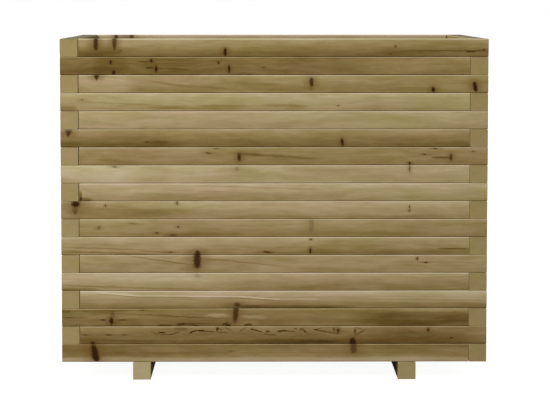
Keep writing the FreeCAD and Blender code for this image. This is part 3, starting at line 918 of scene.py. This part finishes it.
class TimberMaker:
    """Makes planed sticks with their own timber. Holds the node trees that they share."""

    def __init__(self, sizes):
        self.sizes = sizes
        self.stick = stick_tree()
        self.groups = {"knot": knot_group(), "streak": streak_group(), "pine": pine_group()}
        self.count = 0

    def make(self, name, node, slot, solid, turn, wood, seats, arris, close=False, from_above=False):
        """A stick in a solid's place. Turn is the way that its outer side faces, in degrees.

        A close stick has sharp ends, which leave hardly a line where they meet the next wall.
        """
        self.count += 1
        sizes = self.sizes
        lies_along_y = turn in (LEFT, RIGHT)
        length, width = (solid.size.y, solid.size.x) if lies_along_y else (solid.size.x, solid.size.y)
        length -= sizes.saw_gap
        material = pine_material(
            f"pine_{name}", self.groups, wood, solid.middle, length / 2, lies_along_y, self.count)
        facing = Matrix.Rotation(math.radians(turn), 4, "Z")
        start = Matrix.Translation((-length / 2, -sizes.bow / 2, 0))
        place = Matrix.Translation(solid.middle) @ facing @ start
        back = place.inverted()
        mesh = grow(name, self.stick, [back @ seat for seat in seats], {
            "Length": length, "Width": width - sizes.bow - sizes.saw_gap, "Thickness": solid.size.z,
            "Arris": arris, "End Ease": sizes.close_ease if close else sizes.end_ease, "Bow": sizes.bow,
            "Sections": max(LEAST_SECTIONS, round(length / SECTION_LENGTH)), "Seed": self.count * BOW_SEED,
            "Head Radius": sizes.countersink / 2, "From Above": from_above, "Material": material,
        })
        mesh.transform(place)
        put(name, mesh, node)


@cache
def timber():
    """The one timber maker of this run."""
    return TimberMaker(bpy.context.scene.planter_timber)


def seats_in(solid, seats):
    """The seats that lie in a solid's own footprint and height."""
    inside = []
    for seat in seats:
        over = solid.low.x < seat.x < solid.high.x and solid.low.y < seat.y < solid.high.y
        level = solid.low.z - SEAT_REACH < seat.z < solid.high.z + SEAT_REACH
        if over and level:
            inside.append(seat)
    return inside


def foot_seats(course, solid, seats):
    """The seats that show from below, which only the lowest course has."""
    return seats_in(solid, seats) if course == 1 else []


class PlanterTimber(bpy.types.PropertyGroup):
    """Sizes of the timber's finish."""

    arris: bpy.props.FloatProperty(
        name="Arris", description="Rounding of the long edges", default=2 * MM, min=0.0, unit="LENGTH")
    bearer_arris: bpy.props.FloatProperty(
        name="Bearer arris", description="Rounding of the bearers' long edges", default=0.6 * MM,
        min=0.0, unit="LENGTH")
    end_ease: bpy.props.FloatProperty(
        name="End ease", description="Rounding of the sawn ends", default=0.5 * MM, min=0.0, unit="LENGTH")
    close_ease: bpy.props.FloatProperty(
        name="Close ease", description="Rounding of ends that fit closely", default=0.15 * MM,
        min=0.0, unit="LENGTH")
    close_fit: bpy.props.FloatProperty(
        name="Close fit", description="How far a front batten closes the gap at its right end",
        default=0.5 * MM, min=0.0, unit="LENGTH")
    bow: bpy.props.FloatProperty(
        name="Bow", description="How far a stick wanders from straight", default=0.4 * MM,
        min=0.0, unit="LENGTH")
    saw_gap: bpy.props.FloatProperty(
        name="Saw gap", description="How much shorter a stick is than its place", default=0.1 * MM,
        min=0.0, unit="LENGTH")
    countersink: bpy.props.FloatProperty(
        name="Countersink", description="Width of a screw's countersink", default=10.5 * MM,
        min=0.0, unit="LENGTH")
    seed: bpy.props.IntProperty(
        name="Seed", description="Draws the marks of the battens that the front view hides", default=61)


class PlanterScrews(bpy.types.PropertyGroup):
    """Sizes of the screws."""

    wall_shank: bpy.props.FloatProperty(
        name="Wall screw shank", description="Shank diameter of wall screws", default=5 * MM, unit="LENGTH")
    floor_shank: bpy.props.FloatProperty(
        name="Floor screw shank", description="Shank diameter of floor screws", default=4 * MM, unit="LENGTH")
    point: bpy.props.FloatProperty(
        name="Point", description="Length of a screw's tapered point", default=6 * MM, unit="LENGTH")
    socket: bpy.props.FloatProperty(
        name="Socket", description="Side of the square driving socket", default=2.6 * MM, unit="LENGTH")
    socket_depth: bpy.props.FloatProperty(
        name="Socket depth", description="Depth of the driving socket", default=2 * MM, unit="LENGTH")


class PlanterStage(bpy.types.PropertyGroup):
    """The floor, the light and the camera."""

    floor_colour: bpy.props.FloatVectorProperty(
        name="Floor", description="Colour of the floor", default=(0.45, 0.45, 0.45), subtype="COLOR")
    floor_glow: bpy.props.FloatProperty(
        name="Floor glow", description="Light of the floor itself, which keeps its shadows pale",
        default=0.94)
    sky: bpy.props.FloatProperty(
        name="Sky", description="Light that comes from all round", default=0.63)
    key: bpy.props.FloatProperty(
        name="Key", description="Power of the main light", default=165.0, unit="POWER")
    fill: bpy.props.FloatProperty(
        name="Fill", description="Power of the light behind", default=90.0, unit="POWER")
    lens: bpy.props.FloatProperty(
        name="Lens", description="Focal length of the camera", default=137.2, subtype="DISTANCE_CAMERA")


class PLANTER_OT_front_wall(bpy.types.Operator):
    """Make the front wall's battens"""

    bl_idname = "planter.front_wall"
    bl_label = "Front wall"

    def execute(self, context):
        sizes = context.scene.planter_timber
        screws = screw_seats("course_screws", False)
        for course in range(1, COURSES + 1):
            node = f"front_batten_{course:02d}"
            butts_right = course % 2 == 1
            for solid in solids_of(node):
                if butts_right:
                    solid = Solid(solid.low, solid.high + Vector((sizes.close_fit, 0, 0)))
                timber().make(f"front_pine_{course:02d}", node, "batten_wood", solid, FRONT,
                              FRONT_WOODS[course], foot_seats(course, solid, screws), sizes.arris,
                              close=butts_right)
        return {"FINISHED"}


class PLANTER_OT_back_wall(bpy.types.Operator):
    """Make the back wall's battens"""

    bl_idname = "planter.back_wall"
    bl_label = "Back wall"

    def execute(self, context):
        sizes = context.scene.planter_timber
        draw = random.Random(sizes.seed)
        screws = screw_seats("course_screws", False)
        for course in range(1, COURSES + 1):
            node = f"back_batten_{course:02d}"
            wood = RIM_WOODS["back"] if course == COURSES else random_wood(draw)
            for solid in solids_of(node):
                timber().make(f"back_pine_{course:02d}", node, "batten_wood", solid, BACK, wood,
                              foot_seats(course, solid, screws), sizes.arris)
        return {"FINISHED"}


class PLANTER_OT_side_walls(bpy.types.Operator):
    """Make the battens of the two side walls"""

    bl_idname = "planter.side_walls"
    bl_label = "Side walls"

    def execute(self, context):
        sizes = context.scene.planter_timber
        draw = random.Random(sizes.seed + 1)
        screws = screw_seats("course_screws", False)
        for course in range(1, COURSES + 1):
            node = f"side_battens_{course:02d}"
            for solid in sorted(solids_of(node), key=lambda item: item.low.x):
                is_left = solid.middle.x < 0
                side, turn = ("left", LEFT) if is_left else ("right", RIGHT)
                rim = RIM_WOODS[side]
                wood = rim if course == COURSES else random_wood(draw, rim.end_light)
                timber().make(f"{side}_pine_{course:02d}", node, "batten_wood", solid, turn, wood,
                              foot_seats(course, solid, screws), sizes.arris, close=not is_left)
        return {"FINISHED"}


class PLANTER_OT_base(bpy.types.Operator):
    """Make the bearers and the floor slats"""

    bl_idname = "planter.base"
    bl_label = "Bearers and floor"

    def execute(self, context):
        sizes = context.scene.planter_timber
        draw = random.Random(sizes.seed + 2)
        bearer_screws = screw_seats("bearer_screws", False)
        floor_screws = screw_seats("floor_screws", True)
        for node, wood in BEARER_WOODS.items():
            for solid in solids_of(node):
                timber().make(f"{node}_pine", node, "bearer_wood", solid, RIGHT, wood,
                              seats_in(solid, bearer_screws), sizes.bearer_arris)
        slats = sorted(solids_of("floor_slats"), key=lambda item: item.low.y)
        for number, solid in enumerate(slats, start=1):
            timber().make(f"slat_pine_{number}", "floor_slats", "floor_wood", solid, FRONT, random_wood(draw),
                          seats_in(solid, floor_screws), sizes.arris, from_above=True)
        return {"FINISHED"}


class PLANTER_OT_screws(bpy.types.Operator):
    """Drive the screws"""

    bl_idname = "planter.screws"
    bl_label = "Screws"

    def execute(self, context):
        sizes = context.scene.planter_screws
        tree = screw_tree()
        steel = steel_material("zinc_steel")
        for node in ("course_screws", "bearer_screws", "floor_screws"):
            from_above = node == "floor_screws"
            solid = solids_of(node)[0]
            shank = sizes.floor_shank if from_above else sizes.wall_shank
            mesh = grow(f"{node}_steel", tree, screw_seats(node, from_above), {
                "Length": solid.size.z, "Head Radius": solid.size.x / 2, "Shank Radius": shank / 2,
                "Point Length": sizes.point, "Socket": sizes.socket, "Socket Depth": sizes.socket_depth,
                "From Above": from_above, "Material": steel,
            })
            put(f"{node}_steel", mesh, node)
        return {"FINISHED"}


# The stage, in metres

FLOOR_REACH, FLOOR_DROP, FLOOR_ROUGHNESS = 30.0, 0.2 * MM, 0.9
# Where the painted shadow under the planter lies, and how much of the floor's glow it takes away
SHADED_SIDES, SHADED_FRONT, SHADED_BACK = (0.37, 0.45), (-0.06, 0.02), (0.3, 0.34)
SHADED_SHARE = 0.92
LIGHT_SIZE, LIGHT_AIM = (2.4, 1.6), (0, 0, 0.4)
KEY_PLACE, BACK_PLACE = (-2.2, -3.2, 3.4), (-2.4, 3.4, 3.0)
CAMERA_PLACE, CAMERA_PITCH, CAMERA_YAW = (-0.0356, -4.7, 0.794), -0.0777, 0.0084
CAMERA_SHIFT, SENSOR_WIDTH = -0.07, 36.0


def pale_floor(scene, settings):
    """A floor with a white glow of its own, and a painted shadow that dims the glow under the planter's
    footprint, where it would show through the planter's floor.
    """
    mesh = bpy.data.meshes.new("floor")
    quarters = ((-1, -1), (1, -1), (1, 1), (-1, 1))
    corners = [(x * FLOOR_REACH, y * FLOOR_REACH, -FLOOR_DROP) for x, y in quarters]
    mesh.from_pydata(corners, [], [(0, 1, 2, 3)])
    floor = bpy.data.objects.new("floor", mesh)
    scene.collection.objects.link(floor)
    paint, sheet = new_material("pale_floor")
    seen = sheet.node("ShaderNodeLightPath", None, None, "Is Camera Ray")
    coordinates = sheet.node("ShaderNodeTexCoord", None, None, "Object")
    across = sheet.node("ShaderNodeSeparateXYZ", None, {0: coordinates})
    back = across.out("Y")
    # Painted shadow: the glow is dimmed in a soft patch under the planter's footprint
    under = (1 - abs(across).rise(*SHADED_SIDES)) * back.rise(*SHADED_FRONT) * (1 - back.rise(*SHADED_BACK))
    shader = sheet.node("ShaderNodeBsdfPrincipled", None, {
        "Base Color": (*settings.floor_colour, 1.0), "Roughness": FLOOR_ROUGHNESS, "Specular IOR Level": 0.0,
        "Emission Color": seen * (1 - under * SHADED_SHARE) * settings.floor_glow, "Emission Strength": 1.0,
    })
    sheet.node("ShaderNodeOutputMaterial", None, {"Surface": shader})
    mesh.materials.append(paint)


def white_surroundings(scene, settings):
    """A soft sky that looks white."""
    world = bpy.data.worlds.new("white_surroundings")
    world.use_nodes = True
    world.node_tree.nodes.clear()
    sheet = Sheet(world.node_tree)
    seen = sheet.node("ShaderNodeLightPath", None, None, "Is Camera Ray")
    sky = sheet.node("ShaderNodeBackground", None, {
        "Color": (1.0, 1.0, 1.0, 1.0), "Strength": settings.sky + seen * (1 - settings.sky),
    })
    sheet.node("ShaderNodeOutputWorld", None, {"Surface": sky})
    scene.world = world


def studio_light(scene, name, place, power):
    """A large soft light that is aimed at the planter."""
    lamp = bpy.data.lights.new(name, "AREA")
    lamp.shape = "RECTANGLE"
    lamp.size, lamp.size_y = LIGHT_SIZE
    lamp.energy = power
    light = bpy.data.objects.new(name, lamp)
    light.location = place
    light.rotation_euler = (Vector(LIGHT_AIM) - Vector(place)).to_track_quat("-Z", "Y").to_euler()
    scene.collection.objects.link(light)


def photo_camera(scene, settings):
    """The camera, at the photograph's viewing angle."""
    lens = bpy.data.cameras.new("camera")
    lens.lens = settings.lens
    lens.sensor_width = SENSOR_WIDTH
    lens.shift_y = CAMERA_SHIFT
    camera = bpy.data.objects.new("camera", lens)
    camera.location = CAMERA_PLACE
    camera.rotation_euler = (math.pi / 2 + CAMERA_PITCH, 0, -CAMERA_YAW)
    scene.collection.objects.link(camera)
    scene.camera = camera


class PLANTER_OT_stage(bpy.types.Operator):
    """Make the floor, the lights and the camera"""

    bl_idname = "planter.stage"
    bl_label = "Stage"

    def execute(self, context):
        scene = context.scene
        settings = scene.planter_stage
        pale_floor(scene, settings)
        white_surroundings(scene, settings)
        studio_light(scene, "key_light", KEY_PLACE, settings.key)
        studio_light(scene, "back_light", BACK_PLACE, settings.fill)
        scene.view_settings.view_transform = "Standard"
        photo_camera(scene, settings)
        return {"FINISHED"}


class PLANTER_PT_pieces(bpy.types.Panel):
    """Lists the planter's makers and their sizes"""

    bl_label = "Raised planter"
    bl_idname = "PLANTER_PT_pieces"
    bl_space_type = "VIEW_3D"
    bl_region_type = "UI"
    bl_category = "Planter"

    def draw(self, context):
        column = self.layout.column()
        for group in SETTINGS:
            settings = getattr(context.scene, group)
            for name in settings.__annotations__:
                column.prop(settings, name)
        for maker in MAKERS:
            column.operator(maker.bl_idname)


SETTINGS = {"planter_timber": PlanterTimber, "planter_screws": PlanterScrews, "planter_stage": PlanterStage}
MAKERS = (
    PLANTER_OT_front_wall, PLANTER_OT_back_wall, PLANTER_OT_side_walls, PLANTER_OT_base, PLANTER_OT_screws,
    PLANTER_OT_stage,
)
CLASSES = (*SETTINGS.values(), *MAKERS, PLANTER_PT_pieces)


def register():
    for item in CLASSES:
        bpy.utils.register_class(item)
    for name, group in SETTINGS.items():
        setattr(bpy.types.Scene, name, bpy.props.PointerProperty(type=group))


def unregister():
    for name in SETTINGS:
        delattr(bpy.types.Scene, name)
    for item in reversed(CLASSES):
        bpy.utils.unregister_class(item)


def main():
    register()
    bpy.ops.planter.front_wall()
    bpy.ops.planter.back_wall()
    bpy.ops.planter.side_walls()
    bpy.ops.planter.base()
    bpy.ops.planter.screws()
    bpy.ops.planter.stage()


if __name__ == "__main__":
    main()
